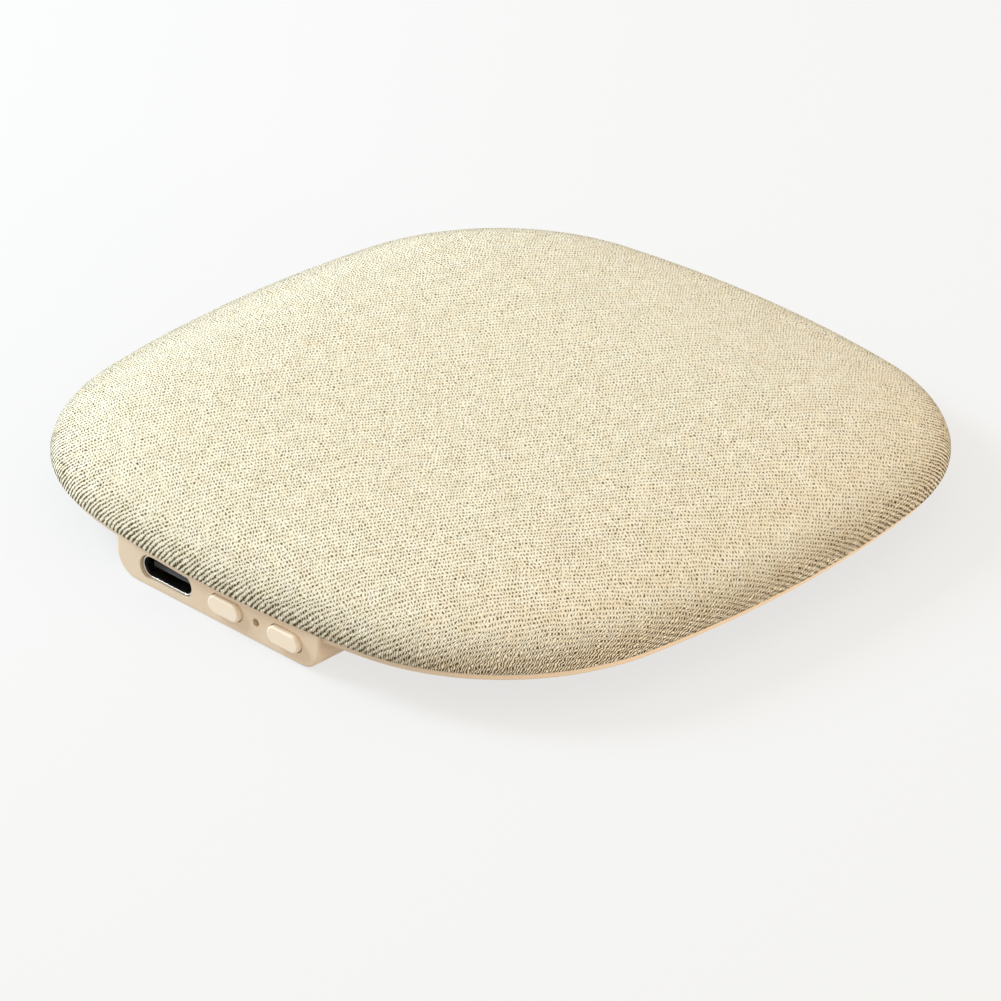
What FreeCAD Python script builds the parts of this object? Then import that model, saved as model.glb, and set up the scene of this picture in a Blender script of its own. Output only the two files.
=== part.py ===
"""Pillow speaker: a soft square pad with bowed sides over a slim box that holds the electronics.

The pad is knitted cloth over foam over a moulded crown. A thin moulded base closes it from below
and carries the box, whose front wall has a charging mouth, two push buttons and a small light hole.
X runs along that front wall, Y from it towards the back, Z up. The origin is the middle of the pad
in plan, on the surface that the box stands on. All sizes are in millimetres.
"""
import FreeCAD, Part
import math
import os

import Sketcher
from FreeCAD import Placement, Rotation, Vector

doc = FreeCAD.newDocument("PillowSpeaker")
sheet = doc.addObject("Spreadsheet::Sheet", "Dimensions")

# Driving dimensions: alias, value, meaning

DIMENSIONS = [
    # Outline of the pad
    ("pad_half", 50.0, "middle of the pad to the cloth at its widest, along X or Y"),
    ("side_radius", 145.0, "bow of the four long sides"),
    ("corner_radius", 30.0, "arc of the four corners"),
    # Profile of the pad from its edge to its middle: three tangent arcs, then level
    ("shoulder_radius", 2.7, "first arc, upright at the hem"),
    ("shoulder_angle", 31.0, "degrees from level where the shoulder ends"),
    ("flank_radius", 14.0, "second arc"),
    ("flank_angle", 12.0, "degrees from level where the flank ends"),
    ("level_corner", 1.5, "corners of the level middle, where the third arc ends"),
    # Layers of the pad
    ("cloth_thickness", 0.8, "knitted cover"),
    ("soft_gap", 0.1, "clearance on each face of the foam"),
    ("foam_side", 1.0, "foam at the widest line"),
    ("hem_gap", 0.08, "cloth hem above the rim band"),
    ("hem_round", 0.3, "outer edge of the hem"),
    # Moulded crown under the foam
    ("crown_wall", 1.2, "skirt and deck"),
    ("skirt_height", 1.1, "upright skirt above the rim band"),
    ("deck_inset", 7.5, "cloth's widest line to the flat deck"),
    ("deck_height", 2.95, "top of the deck above the rim band"),
    ("boss_radius", 2.6, "screw bosses under the deck"),
    ("boss_gap", 0.05, "boss to the base"),
    ("grille_hole", 1.0, "radius of a sound hole"),
    ("grille_pitch", 3.4, "between the rings of sound holes"),
    # Base moulding
    ("rim_inset", 0.8, "cloth's widest line to the rim band"),
    ("rim_height", 1.05, "rim band and base plate"),
    ("rim_round", 0.3, "lower edge of the rim band"),
    ("step_height", 0.35, "raised step that centres the crown"),
    ("step_gap", 0.15, "step to the inside of the crown"),
    # Box under the pad
    ("face_behind", 0.45, "front wall of the box behind the rim band, where the band bows out most"),
    ("box_drop", 4.2, "box below the rim band"),
    ("box_width", 35.4, "box along X"),
    ("box_wall", 1.3, "side, back and front walls"),
    ("box_floor", 1.0, "floor of the box"),
    ("box_corner", 3.2, "long lower edges of the box"),
    ("box_front_round", 0.35, "edge round the front wall"),
    ("box_back_round", 1.2, "edge round the back wall"),
    ("rib_thickness", 0.8, "ribs that hold the cell"),
    ("rib_height", 2.0, "ribs above the box floor"),
    ("rib_gap", 0.3, "ribs to the cell"),
    ("cut_spare", 1.0, "a cut past the open side of what it hollows"),
    # Case screws
    ("screw_inset", 20.0, "pad's widest line to the case screws, along X and along Y"),
    ("screw_radius", 1.0, "shank"),
    ("screw_head_radius", 1.8, "flush head"),
    ("screw_head_height", 0.8, "flush head"),
    ("screw_length", 3.0, "whole screw"),
    ("screw_tip", 0.5, "cone at the end"),
    ("screw_gap", 0.05, "screw to the hole that it bites"),
    ("screw_spare", 0.2, "end of a screw to the end of its hole"),
    ("screw_slot", 0.45, "arms of the cross in the head"),
    ("screw_slot_length", 2.2, "cross in the head, from end to end"),
    ("screw_slot_depth", 0.4, "cross in the head"),
    # Circuit board
    ("board_side_gap", 0.3, "board to the side walls of the box"),
    ("board_depth", 11.2, "along Y"),
    ("board_thickness", 0.8, "board"),
    ("board_gap", 0.4, "front wall to the board"),
    ("post_radius", 1.7, "posts under the board"),
    ("post_from_side", 2.5, "post axis to the side edge of the board"),
    ("post_from_back", 2.3, "post axis to the back edge of the board"),
    ("board_screw_radius", 0.7, "shank"),
    ("board_screw_head", 1.4, "head radius"),
    ("board_screw_head_height", 0.7, "head above the board"),
    ("board_screw_length", 2.4, "shank below the head"),
    # Charging socket
    ("socket_off_middle", -0.3, "socket off the middle of the wall that the buttons leave free"),
    ("socket_width", 8.94, "metal shell"),
    ("socket_height", 3.06, "metal shell"),
    ("socket_wall", 0.25, "metal shell"),
    ("socket_edge", 0.1, "rounded front edges of the metal shell"),
    ("socket_depth", 7.3, "metal shell along Y"),
    ("socket_setback", 0.35, "front of the shell behind the front wall"),
    ("mouth_gap", 0.12, "shell to the mouth in the wall"),
    ("tongue_width", 6.7, "contact tongue"),
    ("tongue_thickness", 0.7, "contact tongue"),
    ("tongue_setback", 0.9, "tongue behind the front of the shell"),
    ("socket_back", 1.5, "moulded back that carries the tongue"),
    ("socket_back_gap", 0.02, "moulded back inside the shell"),
    # Buttons and switches
    ("button_from_side", 1.7, "right button to the side wall of the box"),
    ("button_spacing", 10.25, "middles of the two buttons"),
    ("button_z", 2.75, "buttons and light hole above the standing surface"),
    ("button_length", 5.4, "button along X"),
    ("button_width", 2.4, "button along Z"),
    ("button_proud", 0.7, "button in front of the wall"),
    ("button_edge", 0.3, "soft edge of the button"),
    ("button_gap", 0.12, "button to its hole"),
    ("button_rest_gap", 0.05, "flange to the inside of the wall"),
    ("flange_thickness", 0.5, "flange behind the wall"),
    ("flange_reach", 0.5, "flange beyond each end of the button"),
    ("button_travel", 0.35, "push of a button"),
    ("switch_width", 4.2, "push switch along X"),
    ("switch_height", 2.9, "push switch below the board"),
    ("switch_depth", 3.4, "push switch along Y"),
    ("switch_spare", 0.25, "flange to the switch when fully pushed"),
    ("plunger_radius", 0.6, "moving stem of the switch"),
    ("plunger_gap", 0.08, "stem to its hole"),
    ("plunger_seat", 0.35, "stem inside the switch at rest"),
    ("plunger_spare", 0.2, "stem to the end of its hole when fully pushed"),
    # Light
    ("light_from_button", 5.15, "light hole to the middle of the right button"),
    ("light_radius", 0.55, "light hole"),
    ("lamp_width", 1.6, "light emitter along X"),
    ("lamp_depth", 0.9, "light emitter along Y"),
    ("lamp_height", 2.0, "light emitter below the board"),
    # Parts on the board
    ("chip_size", 5.0, "sound and radio chip"),
    ("chip_height", 0.85, "sound and radio chip"),
    ("chip_from_side", 6.6, "chip to the left edge of the board"),
    ("amplifier_size", 3.0, "amplifier chip"),
    ("amplifier_height", 0.75, "amplifier chip"),
    ("amplifier_off_middle", -0.75, "amplifier chip off the middle between sound chip and aerial"),
    ("inductor_size", 3.6, "power coil block"),
    ("inductor_height", 1.8, "power coil block"),
    ("inductor_from_post", 7.6, "middle of the power coil to the right post"),
    ("aerial_length", 6.0, "ceramic aerial"),
    ("aerial_width", 2.0, "ceramic aerial"),
    ("aerial_height", 0.8, "ceramic aerial"),
    ("aerial_from_side", 2.1, "aerial to the right edge of the board"),
    ("crystal_length", 2.5, "clock crystal"),
    ("crystal_width", 2.0, "clock crystal"),
    ("crystal_height", 0.6, "clock crystal"),
    ("crystal_from_side", 1.85, "crystal to the left edge of the board"),
    ("parts_from_front", 3.0, "front edge of the board to the front of its chips"),
    # Cell
    ("cell_side_gap", 1.4, "cell to the side walls of the box"),
    ("cell_depth", 20.0, "cell along Y"),
    ("cell_thickness", 4.4, "cell"),
    ("cell_round", 1.2, "long edges of the pouch"),
    ("cell_from_board", 3.4, "board to the cell"),
    ("tape_thickness", 0.3, "sticky foam under the cell"),
    ("tape_margin", 2.0, "tape inside the edge of the cell"),
    ("strip_width", 20.0, "protection strip along X"),
    ("strip_depth", 2.4, "protection strip along Y"),
    ("strip_thickness", 0.8, "protection strip"),
    ("strip_gap", 0.2, "strip to the cell"),
    # Sound driver
    ("driver_from_cell", 1.8, "cell to the driver's basket"),
    ("driver_from_back", 0.2, "driver's basket to the back wall of the box"),
    ("basket_radius", 13.2, "outside of the frame's lower wall"),
    ("frame_flange", 2.8, "frame's flange beyond its lower wall"),
    ("flange_height", 0.8, "frame's flange"),
    ("gasket_height", 0.4, "foam ring between the frame and the deck"),
    ("gasket_width", 1.6, "foam ring"),
    ("frame_recess", 0.3, "ledge for the surround below the flange's top"),
    ("ledge_width", 1.8, "that ledge"),
    ("frame_wall", 0.8, "frame's lower wall"),
    ("basket_height", 1.4, "frame below its flange"),
    ("basket_floor", 0.7, "ring of the frame that grips the steel cup"),
    ("frame_gap", 0.05, "frame to the steel cup"),
    ("yoke_radius", 9.5, "steel cup"),
    ("yoke_height", 3.9, "steel cup"),
    ("yoke_wall", 1.1, "steel cup"),
    ("yoke_floor_gap", 0.25, "steel cup above the box floor"),
    ("magnet_radius", 6.6, "magnet disc"),
    ("magnet_height", 1.7, "magnet disc"),
    ("plate_radius", 6.9, "steel plate on the magnet"),
    ("plate_height", 0.8, "steel plate on the magnet"),
    ("coil_inner", 7.2, "voice coil"),
    ("coil_wall", 0.6, "voice coil"),
    ("coil_height", 1.9, "voice coil below the cone"),
    ("cone_gap", 0.7, "edge of the cone to the inside of the frame"),
    ("cone_thickness", 0.25, "cone"),
    ("cone_rise", 0.35, "middle of the cone above its edge"),
    ("roll_outer", 0.6, "radius of the surround's half roll, outside"),
    ("surround_thickness", 0.15, "surround"),
    # Leads
    ("lead_radius", 0.35, "insulated wire"),
    ("battery_lead_x", 2.2, "each battery lead to the middle of the pad"),
    ("battery_lead_bend", 1.3, "arch of the battery leads"),
    ("battery_lead_overlap", 0.6, "battery leads onto the board, from its back edge"),
    ("speaker_lead_x", 0.6, "each speaker lead to the middle of the pad"),
    ("speaker_lead_bend", 1.3, "bend of the speaker leads at the board"),
    ("speaker_lead_overlap", 1.1, "speaker leads onto the board, from its back edge"),
]

for row, (alias, number, meaning) in enumerate(DIMENSIONS, start=1):
    sheet.set("A%d" % row, alias)
    sheet.set("B%d" % row, str(number))
    sheet.set("C%d" % row, meaning)
    sheet.setAlias("B%d" % row, alias)
doc.recompute()


class Size:
    """A sheet value, or a sum of them: its text binds a property, its number places first geometry."""

    def __init__(self, text, number):
        self.text = text
        self.number = number

    def join(self, sign, other, number):
        return Size("(%s %s %s)" % (self.text, sign, other.text), number)

    def __add__(self, other):
        other = plain(other)
        return self.join("+", other, self.number + other.number)

    def __sub__(self, other):
        other = plain(other)
        return self.join("-", other, self.number - other.number)

    def __mul__(self, other):
        other = plain(other)
        return self.join("*", other, self.number * other.number)

    def __truediv__(self, other):
        other = plain(other)
        return self.join("/", other, self.number / other.number)

    def __neg__(self):
        return Size("(0 - %s)" % self.text, -self.number)


def plain(value):
    """A bare count or factor as a Size."""
    return value if isinstance(value, Size) else Size("%.6f" % value, float(value))


def size(alias):
    return Size("Dimensions.%s" % alias, float(sheet.get(alias)))


def sine(degrees):
    return Size("sin(%s * 1 deg)" % degrees.text, math.sin(math.radians(degrees.number)))


def cosine(degrees):
    return Size("cos(%s * 1 deg)" % degrees.text, math.cos(math.radians(degrees.number)))


def bind(thing, prop, value):
    thing.setExpression(prop, plain(value).text)


ZERO = plain(0)
UPRIGHT = plain(90)
FULL_TURN = plain(360)

# Levels, walls and places that several pieces share

RIM_BOTTOM = size("box_drop")
RIM_TOP = RIM_BOTTOM + size("rim_height")
STEP_TOP = RIM_TOP + size("step_height")
RIM_FRONT = size("rim_inset") - size("pad_half")
FRONT = RIM_FRONT + size("face_behind")
FRONT_INSIDE = FRONT + size("box_wall")
BOX_INNER_HALF = size("box_width") / 2 - size("box_wall")
FLOOR_TOP = size("box_floor")

HEM = RIM_TOP + size("hem_gap")
FOAM_OUTSIDE = size("cloth_thickness") + size("soft_gap")
CROWN_OUTSIDE = FOAM_OUTSIDE + size("foam_side") + size("soft_gap")
CROWN_INSIDE = CROWN_OUTSIDE + size("crown_wall")
DECK_TOP = RIM_TOP + size("deck_height")
DECK_BOTTOM = DECK_TOP - size("crown_wall")

BOARD_BOTTOM = RIM_BOTTOM
BOARD_TOP = BOARD_BOTTOM + size("board_thickness")
BOARD_FRONT = FRONT_INSIDE + size("board_gap")
BOARD_BACK = BOARD_FRONT + size("board_depth")
BOARD_HALF = BOX_INNER_HALF - size("board_side_gap")
CHIPS_FRONT = BOARD_FRONT + size("parts_from_front")
POST_X = BOARD_HALF - size("post_from_side")
POST_Y = BOARD_BACK - size("post_from_back")
SOCKET_Z = BOARD_BOTTOM - size("socket_height") / 2
SOCKET_FRONT = FRONT + size("socket_setback")
FLANGE_FRONT = FRONT_INSIDE + size("button_rest_gap")
FLANGE_BACK = FLANGE_FRONT + size("flange_thickness")
SWITCH_FRONT = FLANGE_BACK + size("button_travel") + size("switch_spare")
BUTTON_RIGHT_X = BOX_INNER_HALF - size("button_from_side") - size("button_length") / 2
BUTTON_LEFT_X = BUTTON_RIGHT_X - size("button_spacing")
LIGHT_X = BUTTON_RIGHT_X - size("light_from_button")
SOCKET_X = ((BUTTON_LEFT_X - size("button_length") / 2 - BOX_INNER_HALF) / 2 + size("socket_off_middle"))

CELL_FRONT = BOARD_BACK + size("cell_from_board")
CELL_BACK = CELL_FRONT + size("cell_depth")
CELL_HALF = BOX_INNER_HALF - size("cell_side_gap")
CELL_BOTTOM = FLOOR_TOP + size("tape_thickness")
CELL_MIDDLE_Z = CELL_BOTTOM + size("cell_thickness") / 2
STRIP_FRONT = CELL_FRONT - size("strip_gap") - size("strip_depth")
STRIP_BOTTOM = CELL_MIDDLE_Z - size("strip_thickness") / 2

DRIVER_Y = CELL_BACK + size("driver_from_cell") + size("basket_radius")
DRIVER_RIM = size("basket_radius") + size("frame_flange")
FRAME_INSIDE = size("basket_radius") - size("frame_wall")
CONE_EDGE = FRAME_INSIDE - size("cone_gap")
BOX_BACK = DRIVER_Y + size("basket_radius") + size("driver_from_back") + size("box_wall")
SCREW_X = size("pad_half") - size("screw_inset")

FRAME_TOP = DECK_BOTTOM - size("gasket_height")
FRAME_FLANGE = FRAME_TOP - size("flange_height")
FRAME_BOTTOM = FRAME_FLANGE - size("basket_height")
LEDGE = FRAME_TOP - size("frame_recess")
YOKE_BOTTOM = FLOOR_TOP + size("yoke_floor_gap")
MAGNET_BOTTOM = YOKE_BOTTOM + size("yoke_wall")
PLATE_BOTTOM = MAGNET_BOTTOM + size("magnet_height")
CONE_BOTTOM = LEDGE - size("cone_thickness")


# Bodies, sketches and features

def new_body(label):
    body = doc.addObject("PartDesign::Body", label)
    body.Label = label
    return body


def sketch_on(body, name, role, offset=ZERO):
    """An empty sketch on one of the body's own planes, moved along the plane's normal by offset."""
    sketch = body.newObject("Sketcher::SketchObject", "%s_%s" % (body.Label, name))
    plane = [item for item in body.Origin.OriginFeatures if item.Role == role][0]
    sketch.AttachmentSupport = [(plane, "")]
    sketch.MapMode = "FlatFace"
    sketch.AttachmentOffset = Placement(Vector(0, 0, offset.number), Rotation())
    bind(sketch, "AttachmentOffset.Base.z", offset)
    return sketch


def level_sketch(body, name, z):
    """A sketch looked at from above: its X and Y are the part's."""
    return sketch_on(body, name, "XY_Plane", z)


def front_sketch(body, name, y=ZERO):
    """A sketch looked at from the front: its X is the part's X and its Y is the part's Z."""
    return sketch_on(body, name, "XZ_Plane", -y)


def fix(sketch, kind, *args):
    """One dimension of a sketch: the last argument is its Size."""
    value = plain(args[-1])
    index = sketch.addConstraint(Sketcher.Constraint(kind, *args[:-1], value.number))
    sketch.setExpression("Constraints[%d]" % index, value.text)


def place_point(sketch, geometry, point, x, y):
    fix(sketch, "DistanceX", -1, 1, geometry, point, x)
    fix(sketch, "DistanceY", -1, 1, geometry, point, y)


def rule(sketch, kind, *args):
    sketch.addConstraint(Sketcher.Constraint(kind, *args))


def line(sketch, start, end):
    return sketch.addGeometry(Part.LineSegment(Vector(*start, 0), Vector(*end, 0)), False)


def arc(sketch, centre, radius, first, last):
    """An arc from one angle to another, in degrees, anticlockwise."""
    ring = Part.Circle(Vector(*centre, 0), Vector(0, 0, 1), radius)
    return sketch.addGeometry(Part.ArcOfCircle(ring, math.radians(first), math.radians(last)), False)


def polygon(sketch, points):
    """A closed ring of straight lines through points given as pairs of sizes."""
    points = [(plain(x), plain(y)) for x, y in points]
    corners = [(x.number, y.number) for x, y in points]
    lines = [line(sketch, start, end) for start, end in zip(corners, corners[1:] + corners[:1])]
    for side, following in zip(lines, lines[1:] + lines[:1]):
        rule(sketch, "Coincident", side, 2, following, 1)
    for side, (x, y) in zip(lines, points):
        place_point(sketch, side, 1, x, y)


def rectangle(sketch, left, right, low, high):
    polygon(sketch, [(left, low), (right, low), (right, high), (left, high)])


def circle(sketch, x, y, radius):
    x, y = plain(x), plain(y)
    ring = sketch.addGeometry(
        Part.Circle(Vector(x.number, y.number, 0), Vector(0, 0, 1), radius.number), False)
    fix(sketch, "Radius", ring, radius)
    place_point(sketch, ring, 3, x, y)


def pill(sketch, x, y, length, width):
    """A ring with two straight sides along the sketch's X and two half-round ends."""
    radius = width / 2
    reach = (length - width) / 2
    left_x, right_x = (x - reach).number, (x + reach).number
    low, high, middle = (y - radius).number, (y + radius).number, y.number
    lower = line(sketch, (left_x, low), (right_x, low))
    right = arc(sketch, (right_x, middle), radius.number, -90, 90)
    upper = line(sketch, (right_x, high), (left_x, high))
    left = arc(sketch, (left_x, middle), radius.number, 90, 270)
    ring = [lower, right, upper, left]
    for piece, following in zip(ring, ring[1:] + ring[:1]):
        rule(sketch, "Tangent", piece, 2, following, 1)
    rule(sketch, "Horizontal", lower)
    rule(sketch, "Horizontal", upper)
    fix(sketch, "Radius", right, radius)
    place_point(sketch, right, 3, x + reach, y)
    fix(sketch, "DistanceX", left, 3, right, 3, reach * 2)


def trough(sketch, half_width, low, high, corner):
    """The cross-section of the box: upright sides and a flat floor joined by round lower corners."""
    w, z0, z1, r = half_width.number, low.number, high.number, corner.number
    top = line(sketch, (w, z1), (-w, z1))
    left = line(sketch, (-w, z1), (-w, z0 + r))
    left_arc = arc(sketch, (r - w, z0 + r), r, 180, 270)
    floor = line(sketch, (r - w, z0), (w - r, z0))
    right_arc = arc(sketch, (w - r, z0 + r), r, 270, 360)
    right = line(sketch, (w, z0 + r), (w, z1))
    for piece, following in ((left, left_arc), (left_arc, floor), (floor, right_arc), (right_arc, right)):
        rule(sketch, "Tangent", piece, 2, following, 1)
    rule(sketch, "Coincident", right, 2, top, 1)
    rule(sketch, "Coincident", top, 2, left, 1)
    rule(sketch, "Vertical", left)
    rule(sketch, "Vertical", right)
    rule(sketch, "Horizontal", top)
    rule(sketch, "Horizontal", floor)
    place_point(sketch, top, 1, half_width, high)
    fix(sketch, "DistanceX", -1, 1, top, 2, -half_width)
    fix(sketch, "DistanceY", -1, 1, floor, 1, low)
    fix(sketch, "Radius", left_arc, corner)
    fix(sketch, "Radius", right_arc, corner)


def pad_ring(sketch, inset):
    """The pad's outline, moved inwards in parallel: four bowed sides and four corner arcs, all tangent."""
    half = size("pad_half") - inset
    side = size("side_radius") - inset
    corner = size("corner_radius") - inset
    back = side.number - half.number
    # A corner arc's centre lies on the diagonal, side - corner away from each side arc's centre.
    reach = side.number - corner.number
    along = (math.sqrt(2 * reach ** 2 - back ** 2) - back) / 2
    turn = math.degrees(math.atan2(along, along + back))
    ring = []
    for quarter in range(4):
        angle = 90 * quarter
        towards = Rotation(Vector(0, 0, 1), angle)
        side_centre = towards.multVec(Vector(-back, 0, 0))
        corner_centre = towards.multVec(Vector(along, along, 0))
        ring.append(arc(sketch, (side_centre.x, side_centre.y), side.number, angle - turn, angle + turn))
        ring.append(arc(sketch, (corner_centre.x, corner_centre.y), corner.number,
                        angle + turn, angle + 90 - turn))
    for piece, following in zip(ring, ring[1:] + ring[:1]):
        rule(sketch, "Tangent", piece, 2, following, 1)
    shift = side - half
    centres = [(-shift, ZERO), (ZERO, -shift), (shift, ZERO), (ZERO, shift)]
    for piece, (x, y) in zip(ring[0::2], centres):
        fix(sketch, "Radius", piece, side)
        place_point(sketch, piece, 3, x, y)
    for piece in ring[1::2]:
        fix(sketch, "Radius", piece, corner)


def finish_feature(feature, adds):
    """Recompute, and check that a feature really adds or removes material."""
    before = feature.BaseFeature.Shape.Volume if feature.BaseFeature else 0.0
    doc.recompute()
    change = feature.Shape.Volume - before
    if (change > 0) != adds or abs(change) < 1e-4:
        raise RuntimeError("%s changes the volume by %.5f" % (feature.Label, change))
    return feature


def pad(body, sketch, length, backwards=False):
    """Material from a sketch: upwards from a level sketch, forwards from a front one."""
    feature = body.newObject("PartDesign::Pad", sketch.Label + "_pad")
    feature.Profile = sketch
    feature.Reversed = backwards
    bind(feature, "Length", length)
    return finish_feature(feature, True)


def pocket(body, sketch, depth, backwards=False):
    """A cut from a sketch: downwards from a level sketch and rearwards from a front one."""
    feature = body.newObject("PartDesign::Pocket", sketch.Label + "_pocket")
    feature.Profile = sketch
    feature.Reversed = backwards
    bind(feature, "Length", depth)
    return finish_feature(feature, False)


def turned(body, sketch):
    """A body of revolution about the sketch's upright axis."""
    feature = body.newObject("PartDesign::Revolution", sketch.Label + "_turned")
    feature.Profile = sketch
    feature.ReferenceAxis = (sketch, ["V_Axis"])
    feature.Angle = 360
    return finish_feature(feature, True)


def swept(body, section, path):
    """A section carried round a closed path."""
    feature = body.newObject("PartDesign::AdditivePipe", section.Label + "_swept")
    feature.Profile = section
    feature.Spine = (path, [])
    return finish_feature(feature, True)


def dress(body, kind, prop, amount, test):
    """A fillet or chamfer on every edge of the body whose middle passes the test."""
    base = body.Tip
    names = []
    for number, edge in enumerate(base.Shape.Edges, start=1):
        middle = edge.valueAt((edge.FirstParameter + edge.LastParameter) / 2)
        if test(middle, edge):
            names.append("Edge%d" % number)
    if not names:
        raise RuntimeError("%s finds no edge for its %s" % (body.Label, kind))
    feature = body.newObject("PartDesign::" + kind, "%s_%s" % (body.Label, kind.lower()))
    feature.Base = (base, names)
    bind(feature, prop, amount)
    return finish_feature(feature, False)


def near(value, target):
    return abs(value - target.number) < 1e-3


def block(label, left, front, bottom, width, depth, height):
    """A plain brick-shaped component: width along X, depth along Y, height along Z."""
    brick = doc.addObject("Part::Box", label)
    brick.Label = label
    for prop, value in (("Length", width), ("Width", depth), ("Height", height),
                        ("Placement.Base.x", left), ("Placement.Base.y", front),
                        ("Placement.Base.z", bottom)):
        bind(brick, prop, value)
    return brick


# The crown's profile: three arcs with fixed centres, so that each layer is parallel to the cloth

SHOULDER, FLANK = size("shoulder_angle"), size("flank_angle")
SHOULDER_REACH = size("shoulder_radius") * (plain(1) - sine(SHOULDER))
FLANK_REACH = size("flank_radius") * (sine(SHOULDER) - sine(FLANK))
CROWN_REACH = size("corner_radius") - size("level_corner")
DOME_RADIUS = (CROWN_REACH - SHOULDER_REACH - FLANK_REACH) / sine(FLANK)
CROWN_RISE = (size("shoulder_radius") * cosine(SHOULDER)
              + size("flank_radius") * (cosine(FLANK) - cosine(SHOULDER))
              + DOME_RADIUS * (plain(1) - cosine(FLANK)))
CLOTH_TOP = HEM + CROWN_RISE


def crown_arcs(sketch, inset):
    """Three tangent arcs from the hem line up and inwards to level; returns the first and the last."""
    slopes = [UPRIGHT, SHOULDER, FLANK, ZERO]
    radii = [size("shoulder_radius"), size("flank_radius"), DOME_RADIUS]
    x = size("pad_half") - radii[0]
    z = HEM
    arcs = []
    for index, radius in enumerate(radii):
        if index:
            x = x + (radii[index - 1] - radius) * sine(slopes[index])
            z = z + (radii[index - 1] - radius) * cosine(slopes[index])
        own = radius - inset
        arcs.append(arc(sketch, (x.number, z.number), own.number,
                        (UPRIGHT - slopes[index]).number, (UPRIGHT - slopes[index + 1]).number))
        fix(sketch, "Radius", arcs[-1], own)
        if index < 2:
            fix(sketch, "DistanceY", arcs[-1], 3, arcs[-1], 2, own * cosine(slopes[index + 1]))
    place_point(sketch, arcs[0], 3, size("pad_half") - radii[0], HEM)
    rule(sketch, "Tangent", arcs[0], 2, arcs[1], 1)
    rule(sketch, "Tangent", arcs[1], 2, arcs[2], 1)
    rule(sketch, "Horizontal", arcs[0], 3, arcs[0], 1)
    rule(sketch, "Vertical", arcs[2], 3, arcs[2], 2)
    return arcs[0], arcs[2]


def outline_path(body, inset, z):
    path = level_sketch(body, "path", z)
    pad_ring(path, inset)
    return path


def level_middle(body, inset, top, thickness):
    """The level middle of a crown, inside its swept border."""
    middle = level_sketch(body, "middle", top - thickness)
    pad_ring(middle, inset)
    return pad(body, middle, thickness)


def make_fabric_cover():
    """Knitted cloth, drawn over the crown and ending in a hem just above the rim band."""
    body = new_body("fabric_cover")
    thickness = size("cloth_thickness")
    section = front_sketch(body, "section")
    outer_first, outer_last = crown_arcs(section, ZERO)
    inner_first, inner_last = crown_arcs(section, thickness)
    edge = size("pad_half")
    hem = line(section, (edge.number, HEM.number), ((edge - thickness).number, HEM.number))
    end_x = (edge - CROWN_REACH).number
    end = line(section, (end_x, CLOTH_TOP.number), (end_x, (CLOTH_TOP - thickness).number))
    rule(section, "Coincident", hem, 1, outer_first, 1)
    rule(section, "Coincident", hem, 2, inner_first, 1)
    rule(section, "Coincident", end, 1, outer_last, 2)
    rule(section, "Coincident", end, 2, inner_last, 2)
    swept(body, section, outline_path(body, ZERO, HEM))
    level_middle(body, CROWN_REACH, CLOTH_TOP, thickness)
    dress(body, "Fillet", "Radius", size("hem_round"),
          lambda p, e: near(p.z, HEM) and near(beyond_outline(p), ZERO))
    return body


def beyond_outline(point):
    """How far a point lies outside the pad's widest outline, in plan."""
    half, side, corner = (size(name).number for name in ("pad_half", "side_radius", "corner_radius"))
    back = side - half
    along = (math.sqrt(2 * (side - corner) ** 2 - back ** 2) - back) / 2
    x, y = max(abs(point.x), abs(point.y)), min(abs(point.x), abs(point.y))
    if y * (along + back) <= along * (x + back):
        return math.hypot(x + back, y) - side
    return math.hypot(x - along, y - along) - corner


def make_foam_pad():
    """Moulded foam between the cloth and the crown: it fills the round shoulder over the flat deck."""
    body = new_body("foam_pad")
    section = front_sketch(body, "section")
    first, last = crown_arcs(section, FOAM_OUTSIDE)
    gap = size("soft_gap")
    inside = size("pad_half") - CROWN_OUTSIDE + gap
    deck = DECK_TOP + gap
    deck_x = size("pad_half") - size("deck_inset") + gap
    skirt = RIM_TOP + size("skirt_height") + gap
    end_x = size("pad_half") - CROWN_REACH
    points = [(size("pad_half") - FOAM_OUTSIDE, HEM), (inside, HEM), (inside, skirt), (deck_x, deck),
              (end_x, deck), (end_x, CLOTH_TOP - FOAM_OUTSIDE)]
    corners = [(x.number, z.number) for x, z in points]
    lines = [line(section, start, end) for start, end in zip(corners, corners[1:])]
    rule(section, "Coincident", lines[0], 1, first, 1)
    rule(section, "Coincident", lines[-1], 2, last, 2)
    for piece, following in zip(lines, lines[1:]):
        rule(section, "Coincident", piece, 2, following, 1)
    for piece, (x, z) in zip(lines, points[1:-1]):
        place_point(section, piece, 2, x, z)
    swept(body, section, outline_path(body, FOAM_OUTSIDE, HEM))
    top = CLOTH_TOP - FOAM_OUTSIDE
    level_middle(body, CROWN_REACH, top, top - deck)
    return body


def screw_places():
    """Sketch positions of the four case screws."""
    return [(x, y) for x in (SCREW_X, -SCREW_X) for y in (SCREW_X, -SCREW_X)]


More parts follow.
